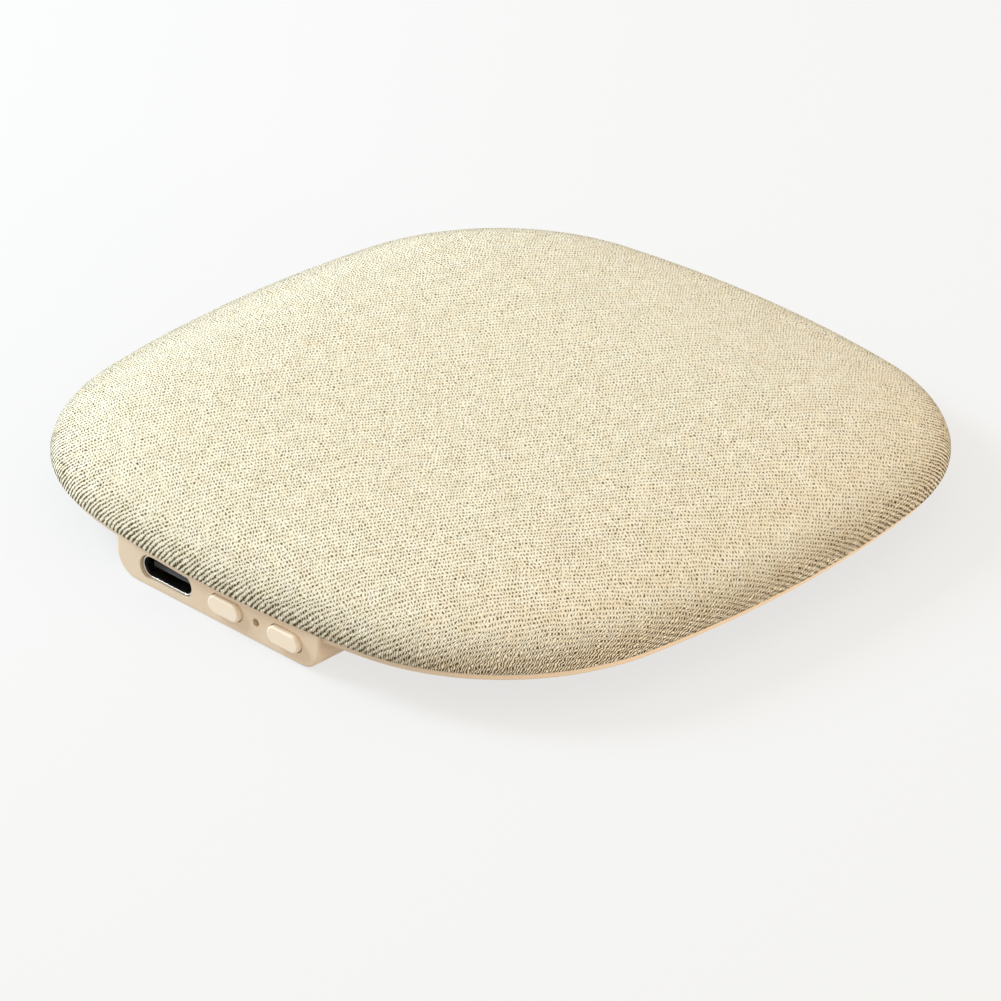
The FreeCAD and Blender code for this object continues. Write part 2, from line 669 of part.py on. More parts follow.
def make_top_shell():
    """Moulded crown: upright skirt, sloping shoulder and flat deck, with bosses and a sound grille."""
    body = new_body("top_shell")
    wall = size("crown_wall")
    outer_x = size("pad_half") - CROWN_OUTSIDE
    deck_x = size("pad_half") - size("deck_inset")
    end_x = size("pad_half") - CROWN_REACH
    skirt = RIM_TOP + size("skirt_height")
    section = front_sketch(body, "section")
    polygon(section, [(outer_x, RIM_TOP), (outer_x, skirt), (deck_x, DECK_TOP), (end_x, DECK_TOP),
                      (end_x, DECK_BOTTOM), (deck_x, DECK_BOTTOM), (outer_x - wall, skirt - wall / 2),
                      (outer_x - wall, RIM_TOP)])
    swept(body, section, outline_path(body, CROWN_OUTSIDE, RIM_TOP))
    level_middle(body, CROWN_REACH, DECK_TOP, wall)
    bosses = level_sketch(body, "bosses", STEP_TOP + size("boss_gap"))
    for x, y in screw_places():
        circle(bosses, x, y, size("boss_radius"))
    pad(body, bosses, DECK_BOTTOM + wall / 2 - STEP_TOP - size("boss_gap"))
    pilots = level_sketch(body, "pilots", STEP_TOP)
    for x, y in screw_places():
        circle(pilots, x, y, size("screw_radius") + size("screw_gap"))
    pocket(body, pilots, RIM_BOTTOM + size("screw_length") + size("screw_spare") - STEP_TOP, backwards=True)
    grille = level_sketch(body, "grille", DECK_TOP)
    circle(grille, ZERO, DRIVER_Y, size("grille_hole"))
    for ring in (1, 2):
        holes = 6 * ring
        for step in range(holes):
            turn = FULL_TURN * step / holes
            reach = size("grille_pitch") * ring
            circle(grille, reach * cosine(turn), DRIVER_Y + reach * sine(turn), size("grille_hole"))
    pocket(body, grille, wall)
    return body


def make_bottom_shell():
    """Base plate with its rim band, and the box with the openings in its front wall, in one moulding."""
    body = new_body("bottom_shell")
    plate = level_sketch(body, "plate", RIM_BOTTOM)
    pad_ring(plate, size("rim_inset"))
    pad(body, plate, size("rim_height"))
    dress(body, "Fillet", "Radius", size("rim_round"), lambda p, e: near(p.z, RIM_BOTTOM))
    step = level_sketch(body, "step", RIM_TOP)
    pad_ring(step, CROWN_INSIDE + size("step_gap"))
    pad(body, step, size("step_height"))
    box = front_sketch(body, "box", FRONT)
    trough(box, size("box_width") / 2, ZERO, RIM_TOP, size("box_corner"))
    pad(body, box, BOX_BACK - FRONT, backwards=True)
    below = lambda p: p.z < RIM_BOTTOM.number - 1e-3
    dress(body, "Fillet", "Radius", size("box_front_round"), lambda p, e: near(p.y, FRONT) and below(p))
    dress(body, "Fillet", "Radius", size("box_back_round"), lambda p, e: near(p.y, BOX_BACK) and below(p))
    cavity = front_sketch(body, "cavity", FRONT_INSIDE)
    trough(cavity, BOX_INNER_HALF, FLOOR_TOP, STEP_TOP + size("cut_spare"), size("box_corner") - size("box_wall"))
    pocket(body, cavity, BOX_BACK - size("box_wall") - FRONT_INSIDE)
    make_front_openings(body)
    make_posts_and_ribs(body)
    holes = level_sketch(body, "screw_holes", STEP_TOP)
    for x, y in screw_places():
        circle(holes, x, y, size("screw_radius") + size("screw_gap"))
    pocket(body, holes, STEP_TOP - RIM_BOTTOM)
    hole_radius = (size("screw_radius") + size("screw_gap")).number
    dress(body, "Chamfer", "Size", size("screw_head_height"),
          lambda p, e: near(p.z, RIM_BOTTOM) and e.Curve.TypeId == "Part::GeomCircle"
          and abs(e.Curve.Radius - hole_radius) < 1e-3)
    return body


def make_front_openings(body):
    """Charging mouth, two button openings and the light hole, cut through the front wall."""
    openings = front_sketch(body, "openings", RIM_FRONT)
    gap = size("mouth_gap")
    pill(openings, SOCKET_X, SOCKET_Z, size("socket_width") + gap * 2, size("socket_height") + gap * 2)
    for x in (BUTTON_LEFT_X, BUTTON_RIGHT_X):
        clearance = size("button_gap") * 2
        pill(openings, x, size("button_z"), size("button_length") + clearance, size("button_width") + clearance)
    circle(openings, LIGHT_X, size("button_z"), size("light_radius"))
    pocket(body, openings, FRONT_INSIDE - RIM_FRONT)


def make_posts_and_ribs(body):
    """Two drilled posts for the board, and two low ribs that keep the cell in its place."""
    posts = level_sketch(body, "posts", FLOOR_TOP)
    for x in (-POST_X, POST_X):
        circle(posts, x, POST_Y, size("post_radius"))
    pad(body, posts, BOARD_BOTTOM - FLOOR_TOP)
    drilled = level_sketch(body, "post_holes", BOARD_BOTTOM)
    for x in (-POST_X, POST_X):
        circle(drilled, x, POST_Y, size("board_screw_radius") + size("screw_gap"))
    pocket(body, drilled, size("board_screw_length") - size("board_thickness") + size("screw_spare"))
    ribs = level_sketch(body, "ribs", FLOOR_TOP)
    front_rib = STRIP_FRONT - size("rib_gap")
    back_rib = CELL_BACK + size("rib_gap")
    for near_y, far_y in ((front_rib - size("rib_thickness"), front_rib),
                          (back_rib, back_rib + size("rib_thickness"))):
        rectangle(ribs, -BOX_INNER_HALF, BOX_INNER_HALF, near_y, far_y)
    pad(body, ribs, size("rib_height"))


# Case screws and board screws: one is turned, and mirrored copies join it in the same node

def cross_slot(body, z, up):
    """The driver cross in a screw's head; up says that the head's top faces upwards."""
    reach = size("screw_slot_length") / 2
    half = size("screw_slot") / 2
    cross = level_sketch(body, "cross", z)
    polygon(cross, [(half, half), (reach, half), (reach, -half), (half, -half), (half, -reach), (-half, -reach),
                    (-half, -half), (-reach, -half), (-reach, half), (-half, half), (-half, reach), (half, reach)])
    pocket(body, cross, size("screw_slot_depth"), backwards=not up)


def mirrored(source, label, normal):
    copy = doc.addObject("Part::Mirroring", label)
    copy.Source = source
    copy.Normal = normal
    return copy


def group(label, members):
    together = doc.addObject("Part::Compound", label)
    together.Label = label
    together.Links = members
    return together


def make_case_screws():
    """Four flush self-tapping screws that hold the base to the crown's bosses."""
    screw = new_body("case_screw")
    profile = front_sketch(screw, "profile")
    shank, head = size("screw_radius"), size("screw_head_radius")
    polygon(profile, [(ZERO, ZERO), (head, ZERO), (shank, size("screw_head_height")),
                      (shank, size("screw_length") - size("screw_tip")), (ZERO, size("screw_length"))])
    turned(screw, profile)
    cross_slot(screw, ZERO, up=False)
    bind(screw, "Placement.Base.x", SCREW_X)
    bind(screw, "Placement.Base.y", SCREW_X)
    bind(screw, "Placement.Base.z", RIM_BOTTOM)
    left = mirrored(screw, "case_screw_left", Vector(1, 0, 0))
    pair = group("case_screw_pair", [screw, left])
    front = mirrored(pair, "case_screws_front", Vector(0, 1, 0))
    return group("case_screws", [pair, front])


def make_board_screws():
    """Two small screws with round heads through the back corners of the board."""
    screw = new_body("board_screw")
    profile = front_sketch(screw, "profile")
    shank, head = size("board_screw_radius"), size("board_screw_head")
    polygon(profile, [(ZERO, -size("board_screw_length")), (shank, -size("board_screw_length")), (shank, ZERO),
                      (head, ZERO), (head, size("board_screw_head_height")),
                      (ZERO, size("board_screw_head_height"))])
    turned(screw, profile)
    bind(screw, "Placement.Base.x", POST_X)
    bind(screw, "Placement.Base.y", POST_Y)
    bind(screw, "Placement.Base.z", BOARD_TOP)
    left = mirrored(screw, "board_screw_left", Vector(1, 0, 0))
    return group("board_screws", [screw, left])


# Electronics

def make_circuit_board():
    body = new_body("circuit_board")
    plate = level_sketch(body, "plate", BOARD_BOTTOM)
    rectangle(plate, -BOARD_HALF, BOARD_HALF, BOARD_FRONT, BOARD_BACK)
    pad(body, plate, size("board_thickness"))
    holes = level_sketch(body, "holes", BOARD_TOP)
    for x in (-POST_X, POST_X):
        circle(holes, x, POST_Y, size("board_screw_radius") + size("screw_gap"))
    pocket(body, holes, size("board_thickness"))
    return body


def make_board_parts():
    """Chips, crystal and aerial on top of the board; power coil and light emitter below it."""
    chip, amplifier = size("chip_size"), size("amplifier_size")
    chip_left = size("chip_from_side") - BOARD_HALF
    aerial_left = BOARD_HALF - size("aerial_from_side") - size("aerial_length")
    amplifier_left = (chip_left + chip + aerial_left - amplifier) / 2 + size("amplifier_off_middle")
    on_top = [("sound_chip", chip_left, chip, chip, size("chip_height")),
              ("amplifier_chip", amplifier_left, amplifier, amplifier, size("amplifier_height")),
              ("ceramic_aerial", aerial_left, size("aerial_length"), size("aerial_width"),
               size("aerial_height")),
              ("clock_crystal", size("crystal_from_side") - BOARD_HALF, size("crystal_length"),
               size("crystal_width"), size("crystal_height"))]
    pieces = [block(label, left, CHIPS_FRONT, BOARD_TOP, width, depth, height)
              for label, left, width, depth, height in on_top]
    side, height = size("inductor_size"), size("inductor_height")
    pieces.append(block("power_inductor", POST_X - size("inductor_from_post") - side / 2, POST_Y - side / 2,
                        BOARD_BOTTOM - height, side, side, height))
    lamp = size("lamp_width")
    pieces.append(block("status_light", LIGHT_X - lamp / 2, BOARD_FRONT, BOARD_BOTTOM - size("lamp_height"),
                        lamp, size("lamp_depth"), size("lamp_height")))
    return pieces


def make_socket_shell():
    """Folded steel tube of the charging socket, open at both ends."""
    body = new_body("socket_shell")
    wall = size("socket_wall")
    outside = front_sketch(body, "outside", SOCKET_FRONT)
    pill(outside, SOCKET_X, SOCKET_Z, size("socket_width"), size("socket_height"))
    pad(body, outside, size("socket_depth"), backwards=True)
    inside = front_sketch(body, "inside", SOCKET_FRONT)
    pill(inside, SOCKET_X, SOCKET_Z, size("socket_width") - wall * 2, size("socket_height") - wall * 2)
    pocket(body, inside, size("socket_depth"))
    dress(body, "Fillet", "Radius", size("socket_edge"), lambda p, e: near(p.y, SOCKET_FRONT))
    return body


def make_socket_tongue():
    """Moulded back of the socket with the flat contact tongue that stands in its middle."""
    body = new_body("socket_tongue")
    inset = (size("socket_wall") + size("socket_back_gap")) * 2
    block_front = SOCKET_FRONT + size("socket_depth") - size("socket_back")
    back = front_sketch(body, "back", block_front)
    pill(back, SOCKET_X, SOCKET_Z, size("socket_width") - inset, size("socket_height") - inset)
    pad(body, back, size("socket_back"), backwards=True)
    tongue = front_sketch(body, "tongue", block_front)
    half, thick = size("tongue_width") / 2, size("tongue_thickness") / 2
    rectangle(tongue, SOCKET_X - half, SOCKET_X + half, SOCKET_Z - thick, SOCKET_Z + thick)
    pad(body, tongue, size("socket_depth") - size("socket_back") - size("tongue_setback"))
    return body


def make_button(side, x):
    """Pill-shaped cap with a soft front edge and a flange that stops it behind the wall."""
    body = new_body(side + "_button")
    front = FRONT - size("button_proud")
    cap = front_sketch(body, "cap", front)
    pill(cap, x, size("button_z"), size("button_length"), size("button_width"))
    pad(body, cap, FLANGE_FRONT - front, backwards=True)
    dress(body, "Fillet", "Radius", size("button_edge"), lambda p, e: near(p.y, front))
    flange = front_sketch(body, "flange", FLANGE_FRONT)
    pill(flange, x, size("button_z"), size("button_length") + size("flange_reach") * 2, size("button_width"))
    pad(body, flange, size("flange_thickness"), backwards=True)
    return body


def make_switch(side, x):
    """Push switch that hangs under the board, with a hole for its moving stem."""
    body = new_body(side + "_switch")
    case = front_sketch(body, "case", SWITCH_FRONT)
    half = size("switch_width") / 2
    rectangle(case, x - half, x + half, BOARD_BOTTOM - size("switch_height"), BOARD_BOTTOM)
    pad(body, case, size("switch_depth"), backwards=True)
    hole = front_sketch(body, "hole", SWITCH_FRONT)
    circle(hole, x, size("button_z"), size("plunger_radius") + size("plunger_gap"))
    pocket(body, hole, size("plunger_seat") + size("button_travel") + size("plunger_spare"))
    return body


def make_plunger(side, x):
    """Stem between a button and its switch; it moves with the button."""
    body = new_body(side + "_plunger")
    stem = front_sketch(body, "stem", FLANGE_BACK)
    circle(stem, x, size("button_z"), size("plunger_radius"))
    pad(body, stem, SWITCH_FRONT + size("plunger_seat") - FLANGE_BACK, backwards=True)
    return body


def make_cell():
    """Flat pouch cell with rounded long edges."""
    body = new_body("battery_cell")
    pouch = level_sketch(body, "pouch", CELL_BOTTOM)
    rectangle(pouch, -CELL_HALF, CELL_HALF, CELL_FRONT, CELL_BACK)
    pad(body, pouch, size("cell_thickness"))
    dress(body, "Fillet", "Radius", size("cell_round"),
          lambda p, e: near(abs(p.x), CELL_HALF) and near(p.y, (CELL_FRONT + CELL_BACK) / 2))
    return body


def make_cell_parts():
    """Sticky foam under the cell, and the protection strip along its front edge."""
    margin = size("tape_margin")
    tape_half = CELL_HALF - margin
    tape = block("battery_tape", -tape_half, CELL_FRONT + margin, FLOOR_TOP, tape_half * 2,
                 size("cell_depth") - margin * 2, size("tape_thickness"))
    strip = block("battery_strip", -size("strip_width") / 2, STRIP_FRONT, STRIP_BOTTOM, size("strip_width"),
                  size("strip_depth"), size("strip_thickness"))
    return [tape, strip]


# Leads: one wire is swept along straight runs and an arc, and its mirrored copy joins it

def lead_section(body, x, y, z):
    """The round section of a wire that starts upright."""
    section = level_sketch(body, "section", z)
    circle(section, x, y, size("lead_radius"))
    return section


def side_sketch(body, name, x):
    """A sketch looked at from the right: its X is the part's Y and its Y is the part's Z."""
    return sketch_on(body, name, "YZ_Plane", x)


def make_battery_leads():
    """Two wires that arch from the protection strip over the back edge of the board and down onto it."""
    wire = new_body("battery_lead")
    bend = size("battery_lead_bend")
    board_y = BOARD_BACK - size("battery_lead_overlap")
    strip_y = board_y + bend * 2
    start = STRIP_BOTTOM + size("strip_thickness")
    path = side_sketch(wire, "path", size("battery_lead_x"))
    upright = line(path, (strip_y.number, start.number), (strip_y.number, BOARD_TOP.number))
    arch = arc(path, ((board_y + bend).number, BOARD_TOP.number), bend.number, 0, 180)
    rule(path, "Tangent", upright, 2, arch, 1)
    place_point(path, upright, 1, strip_y, start)
    place_point(path, upright, 2, strip_y, BOARD_TOP)
    place_point(path, arch, 2, board_y, BOARD_TOP)
    swept(wire, lead_section(wire, size("battery_lead_x"), strip_y, start), path)
    other = mirrored(wire, "battery_lead_left", Vector(1, 0, 0))
    return group("battery_leads", [wire, other])


def make_speaker_leads():
    """Two wires from the board over the cell to the edge of the driver's frame."""
    wire = new_body("speaker_lead")
    bend = size("speaker_lead_bend")
    board_y = BOARD_BACK - size("speaker_lead_overlap")
    level = BOARD_TOP + bend
    path = side_sketch(wire, "path", size("speaker_lead_x"))
    rise = arc(path, ((board_y + bend).number, BOARD_TOP.number), bend.number, 90, 180)
    end_y = DRIVER_Y - DRIVER_RIM
    run = line(path, ((board_y + bend).number, level.number), (end_y.number, level.number))
    rule(path, "Tangent", rise, 1, run, 1)
    fix(path, "Radius", rise, bend)
    place_point(path, rise, 2, board_y, BOARD_TOP)
    rule(path, "Horizontal", run)
    rule(path, "Horizontal", rise, 3, rise, 2)
    fix(path, "DistanceX", -1, 1, run, 2, end_y)
    swept(wire, lead_section(wire, size("speaker_lead_x"), board_y, BOARD_TOP), path)
    other = mirrored(wire, "speaker_lead_left", Vector(1, 0, 0))
    return group("speaker_leads", [wire, other])


# Sound driver: each piece is turned about the driver's own axis

def driver_piece(label, points):
    """A ring or disc of the driver from its half section; points are radius and height."""
    body = new_body(label)
    section = front_sketch(body, "section")
    polygon(section, points)
    turned(body, section)
    bind(body, "Placement.Base.y", DRIVER_Y)
    return body


def make_driver():
    basket = size("basket_radius")
    grip = size("yoke_radius") + size("frame_gap")
    floor = FRAME_BOTTOM + size("basket_floor")
    ledge_end = FRAME_INSIDE + size("ledge_width")
    frame = driver_piece("driver_frame", [
        (grip, FRAME_BOTTOM), (basket, FRAME_BOTTOM), (basket, FRAME_FLANGE), (DRIVER_RIM, FRAME_FLANGE),
        (DRIVER_RIM, FRAME_TOP), (ledge_end, FRAME_TOP), (ledge_end, LEDGE), (FRAME_INSIDE, LEDGE),
        (FRAME_INSIDE, floor), (grip, floor)])
    gasket_inside = DRIVER_RIM - size("gasket_width")
    gasket = driver_piece("driver_gasket", [
        (gasket_inside, FRAME_TOP), (DRIVER_RIM, FRAME_TOP), (DRIVER_RIM, DECK_BOTTOM),
        (gasket_inside, DECK_BOTTOM)])
    cup, wall = size("yoke_radius"), size("yoke_wall")
    yoke_top = YOKE_BOTTOM + size("yoke_height")
    yoke = driver_piece("driver_yoke", [
        (ZERO, YOKE_BOTTOM), (cup, YOKE_BOTTOM), (cup, yoke_top), (cup - wall, yoke_top),
        (cup - wall, MAGNET_BOTTOM), (ZERO, MAGNET_BOTTOM)])
    magnet = driver_piece("driver_magnet", [
        (ZERO, MAGNET_BOTTOM), (size("magnet_radius"), MAGNET_BOTTOM), (size("magnet_radius"), PLATE_BOTTOM),
        (ZERO, PLATE_BOTTOM)])
    plate_top = PLATE_BOTTOM + size("plate_height")
    plate = driver_piece("driver_pole_plate", [
        (ZERO, PLATE_BOTTOM), (size("plate_radius"), PLATE_BOTTOM), (size("plate_radius"), plate_top),
        (ZERO, plate_top)])
    inner, outer = size("coil_inner"), size("coil_inner") + size("coil_wall")
    coil_bottom = CONE_BOTTOM - size("coil_height")
    coil = driver_piece("voice_coil", [
        (inner, coil_bottom), (outer, coil_bottom), (outer, CONE_BOTTOM), (inner, CONE_BOTTOM)])
    rise = size("cone_rise")
    cone = driver_piece("driver_cone", [
        (ZERO, CONE_BOTTOM + rise), (inner, CONE_BOTTOM), (CONE_EDGE, CONE_BOTTOM), (CONE_EDGE, LEDGE),
        (inner, LEDGE), (ZERO, LEDGE + rise)])
    return [frame, gasket, yoke, magnet, plate, coil, cone, make_surround()]


def make_surround():
    """Half roll of rubber from the edge of the cone to the ledge of the frame."""
    body = new_body("driver_surround")
    section = front_sketch(body, "section")
    outer = size("roll_outer")
    middle = CONE_EDGE + outer
    inner = outer - size("surround_thickness")
    rings = []
    for radius in (outer, inner):
        rings.append(arc(section, (middle.number, LEDGE.number), radius.number, 0, 180))
        fix(section, "Radius", rings[-1], radius)
        place_point(section, rings[-1], 3, middle, LEDGE)
        rule(section, "Horizontal", rings[-1], 3, rings[-1], 1)
        rule(section, "Horizontal", rings[-1], 3, rings[-1], 2)
    for point, sign in ((1, 1), (2, -1)):
        feet = line(section, ((middle + outer * sign).number, LEDGE.number),
                    ((middle + inner * sign).number, LEDGE.number))
        rule(section, "Coincident", feet, 1, rings[0], point)
        rule(section, "Coincident", feet, 2, rings[1], point)
    turned(body, section)
    bind(body, "Placement.Base.y", DRIVER_Y)
    return body


nodes = [make_fabric_cover(), make_foam_pad(), make_top_shell(), make_bottom_shell()]
nodes += [make_case_screws(), make_board_screws(), make_circuit_board()]
nodes += make_board_parts()
nodes += [make_socket_shell(), make_socket_tongue()]
for side_name, place in (("left", BUTTON_LEFT_X), ("right", BUTTON_RIGHT_X)):
    nodes += [make_button(side_name, place), make_switch(side_name, place), make_plunger(side_name, place)]
nodes += [make_cell()] + make_cell_parts()
nodes += make_driver()
nodes += [make_battery_leads(), make_speaker_leads()]
doc.recompute()

# Nothing is written unless every object is sound

for thing in doc.Objects:
    if "Invalid" in thing.State or "Error" in thing.State:
        raise RuntimeError("%s failed: %s" % (thing.Label, thing.State))
for node in nodes:
    if node.Shape.isNull() or not node.Shape.isValid():
        raise RuntimeError("%s has no valid shape" % node.Label)

os.makedirs("parts", exist_ok=True)
for node in nodes:
    node.Shape.exportStep("parts/%s.step" % node.Label)
    print("%-18s solids %d  volume %9.2f" % (node.Label, len(node.Shape.Solids), node.Shape.Volume))
print("%d nodes, pad top at %.2f" % (len(nodes), CLOTH_TOP.number))
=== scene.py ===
# %% [markdown]
# # A pillow speaker in knitted cloth
# The speaker is a soft square pad, 100 mm across and under 12 mm high, that slips under a pillow.
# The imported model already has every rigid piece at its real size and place. This lesson adds what
# the eye judges first: the knitted cover, the finish of each moulding, and quiet studio light.
# All lengths are in metres, and the pad's front wall with its mouth and buttons faces -Y.

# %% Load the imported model
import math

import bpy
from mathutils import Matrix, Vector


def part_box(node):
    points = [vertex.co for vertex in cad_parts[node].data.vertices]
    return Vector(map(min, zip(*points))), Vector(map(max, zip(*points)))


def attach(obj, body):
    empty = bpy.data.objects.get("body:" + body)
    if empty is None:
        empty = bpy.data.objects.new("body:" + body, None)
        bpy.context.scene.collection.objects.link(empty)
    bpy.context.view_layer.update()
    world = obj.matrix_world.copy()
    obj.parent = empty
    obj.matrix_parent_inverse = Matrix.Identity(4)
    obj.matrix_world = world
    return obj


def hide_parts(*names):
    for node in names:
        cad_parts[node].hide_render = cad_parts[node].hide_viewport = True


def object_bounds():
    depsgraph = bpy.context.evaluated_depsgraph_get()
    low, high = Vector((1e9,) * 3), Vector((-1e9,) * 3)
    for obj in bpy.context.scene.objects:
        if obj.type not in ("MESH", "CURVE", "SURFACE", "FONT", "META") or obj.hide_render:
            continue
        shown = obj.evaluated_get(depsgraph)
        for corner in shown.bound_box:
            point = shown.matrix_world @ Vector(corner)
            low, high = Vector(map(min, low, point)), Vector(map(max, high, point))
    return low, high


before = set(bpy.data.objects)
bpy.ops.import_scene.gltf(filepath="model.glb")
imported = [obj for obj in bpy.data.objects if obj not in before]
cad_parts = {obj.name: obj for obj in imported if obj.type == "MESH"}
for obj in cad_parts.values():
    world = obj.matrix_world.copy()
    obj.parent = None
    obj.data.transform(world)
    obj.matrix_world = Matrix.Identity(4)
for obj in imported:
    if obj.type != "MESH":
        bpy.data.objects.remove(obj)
cad_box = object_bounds()

# %% [markdown]
# The first values are the ones that everything else is measured in. Real sizes are easier to
# check in millimetres, so one name turns them to metres, and the two corners of the cover come from
# the model instead of being typed again.

MM = 0.001
cover_low, cover_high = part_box("fabric_cover")
for corner in (cover_low, cover_high):
    print("cover corner at", [round(v / MM, 2) for v in corner], "mm")

# %% [markdown]
# ## Camera
# The pad is seen from the corner between its front wall and its right side, from about 30 degrees
# above. A long lens keeps the far corner almost as wide as the near one. The pad sits above the
# middle of the picture, which a small shift of the lens gives without tilting the camera.

# %% Set up the camera
PICTURE = 1001
SENSOR = 36.0
CAMERA_TURN = math.radians(44.413)
CAMERA_RISE = math.radians(29.137)
CAMERA_DISTANCE = 769.417 * MM
FOCAL_PIXELS = 6163.032
LENS_CENTRE = (500.746, 450.562)
AIM = Vector((0, 0, 4.2 * MM))

camera_data = bpy.data.cameras.new("camera")
camera = bpy.data.objects.new("camera", camera_data)
bpy.context.scene.collection.objects.link(camera)
towards_camera = Vector((math.sin(CAMERA_TURN) * math.cos(CAMERA_RISE),
                         -math.cos(CAMERA_TURN) * math.cos(CAMERA_RISE),
                         math.sin(CAMERA_RISE)))
camera.location = AIM + towards_camera * CAMERA_DISTANCE
camera.rotation_euler = (-towards_camera).to_track_quat("-Z", "Y").to_euler()
camera_data.sensor_width = SENSOR
camera_data.lens = SENSOR * FOCAL_PIXELS / PICTURE
camera_data.shift_x = (PICTURE / 2 - LENS_CENTRE[0]) / PICTURE
camera_data.shift_y = (LENS_CENTRE[1] - PICTURE / 2) / PICTURE
bpy.context.scene.camera = camera
print("lens %.1f mm, shift %.4f" % (camera_data.lens, camera_data.shift_y))

# %% [markdown]
# ## Building materials from nodes
# Every finish below is a small graph of nodes. Colours are picked in sRGB, as a screen shows them,
# but shaders count light, so one function turns a hex colour to linear numbers. A second function
# adds one node with its settings and its links, which keeps each graph readable as a list.

# %% Helpers for materials
MATH = "ShaderNodeMath"
VECTOR = "ShaderNodeVectorMath"
NOISE = "ShaderNodeTexNoise"


def linear(code):
    """An sRGB hex colour as linear red, green, blue and alpha."""
    channels = [int(code[place:place + 2], 16) / 255 for place in (0, 2, 4)]
    return [c / 12.92 if c <= 0.04045 else ((c + 0.055) / 1.055) ** 2.4 for c in channels] + [1.0]


def add_node(owner, kind, inputs=None, **settings):
    """Add one node. An input is a value, a socket to link from, or a node, which gives its output."""
    node = owner.node_tree.nodes.new(kind)
    for name, value in settings.items():
        setattr(node, name, value)
    for socket, value in (inputs or {}).items():
        if isinstance(value, bpy.types.Node):
            value = next(output for output in value.outputs if output.enabled)
        if isinstance(value, bpy.types.NodeSocket):
            owner.node_tree.links.new(value, node.inputs[socket])
        else:
            node.inputs[socket].default_value = value
    return node


def new_material(name, roughness, metallic=0.0, ior=1.5):
    """An empty material with a Principled shader; returns both."""
    material = bpy.data.materials.new(name)
    material.use_nodes = True
    shader = material.node_tree.nodes["Principled BSDF"]
    shader.inputs["Roughness"].default_value = roughness
    shader.inputs["Metallic"].default_value = metallic
    if not metallic:
        shader.inputs["IOR"].default_value = ior
    return material, shader


def plug(owner, output, shader, socket):
    """Link a node's output to a socket of the shader."""
    owner.node_tree.links.new(output, shader.inputs[socket])


# %% [markdown]
# ## Knitted polyester
# The cover is a fine weft knit of cream melange yarn. Its stitches stand in rows 0.70 mm apart,
# one stitch every 0.40 mm, and the rows cross the pad at 57 degrees to its front wall. Between the
# stitches there is a tiny pit, whose shade is painted in as a brown dot. A stitch leans like one stroke
# of a slash, so the gaps from pit to pit are slanted lines. The pattern is worked out from cloth
# coordinates in millimetres, kept in a UV map, so it follows the cloth round the shoulder without
# sliding. There the knit is pulled: where the rows run into the hem whole valleys open, and elsewhere
# the gaps do, and the painted shade in them is darker.

# %% Knit pattern sizes, in millimetres
ROW_SPACING = 0.70
STITCH_PITCH = 0.396
ROW_STAGGER = 0.165
ROW_ANGLE = math.radians(56.6)
LEAN_PITCHES = 2
VALLEY_WIDTH = 0.12
GAP_WIDTH = 0.07
YARN_DEPTH = 0.30
FIBRE_SIZE = 0.25
MELANGE_SIZE = 2.4
PATCH_SIZE = 1.3
# Hand-fed yarn is never quite straight: a slow wobble bends the rows, a quick one the stitches.
WOBBLES = [(4.0, 0.40), (0.6, 0.28)]

row_step = Vector((math.sin(ROW_ANGLE), -math.cos(ROW_ANGLE), 0)) / ROW_SPACING
stitch_step = Vector((math.cos(ROW_ANGLE), math.sin(ROW_ANGLE), 0)) / STITCH_PITCH
# From one row to the next the pits move by the stagger, and the slanted gaps by whole pitches more.
pit_step = stitch_step - row_step * ROW_STAGGER / STITCH_PITCH
gap_step = pit_step + row_step * LEAN_PITCHES
print("knit: %.1f stitches to a square millimetre" % (1 / (ROW_SPACING * STITCH_PITCH)))

# %% [markdown]
# The graph is built in four short steps. First the cloth coordinates wobble a little, and three dot
# products count along them: rows, pits along a row, and slanted gaps. Each count is a whole number on
# its own line, so all that follows only asks how far the nearest whole number is.

# %% Knit: counting rows, pits and gaps
knit, knit_shader = new_material("knitted_polyester", roughness=0.85)
knit_shader.inputs["Sheen Weight"].default_value = 0.08
knit_shader.inputs["Sheen Roughness"].default_value = 0.5
knit_shader.inputs["Specular IOR Level"].default_value = 0.1

flat = add_node(knit, "ShaderNodeUVMap", uv_map="cloth_mm")
wavy = flat
for size, reach in WOBBLES:
    noise = add_node(knit, NOISE, {"Vector": flat, "Scale": 1 / size, "Detail": 1.0})
    shift = add_node(knit, VECTOR, {0: noise.outputs["Color"], 1: [2 * reach] * 3, 2: [-reach] * 3},
                     operation="MULTIPLY_ADD")
    wavy = add_node(knit, VECTOR, {0: wavy, 1: shift}, operation="ADD")
row = add_node(knit, VECTOR, {0: wavy, 1: row_step}, operation="DOT_PRODUCT")
pit_count = add_node(knit, VECTOR, {0: wavy, 1: pit_step}, operation="DOT_PRODUCT")
gap_count = add_node(knit, VECTOR, {0: wavy, 1: gap_step}, operation="DOT_PRODUCT")

# %% [markdown]
# Three sets of waves, one along the rows and two across them, are added up. They all peak where a
# row crosses a pit line, and a power keeps only those peaks: the round pits. The valleys and the
# gaps are lines, made by a bell curve of the distance to them.

# %% Knit: pits, valleys and gaps
WAVE_LEVEL = 1.5
WAVE_SHARES = [(row_step, 0.7), (pit_step, 1.25), (row_step + pit_step, 1.05)]
PIT_SHARPNESS = 2.0

weave = WAVE_LEVEL
for step, share in WAVE_SHARES:
    angle = add_node(knit, VECTOR, {0: wavy, 1: step * math.tau}, operation="DOT_PRODUCT")
    wave = add_node(knit, MATH, {0: angle}, operation="COSINE")
    weave = add_node(knit, MATH, {0: wave, 1: share, 2: weave}, operation="MULTIPLY_ADD")
highest = WAVE_LEVEL + sum(share for step, share in WAVE_SHARES)
peak = add_node(knit, MATH, {0: weave, 1: highest}, operation="DIVIDE", use_clamp=True)
pit = add_node(knit, MATH, {0: peak, 1: PIT_SHARPNESS}, operation="POWER")

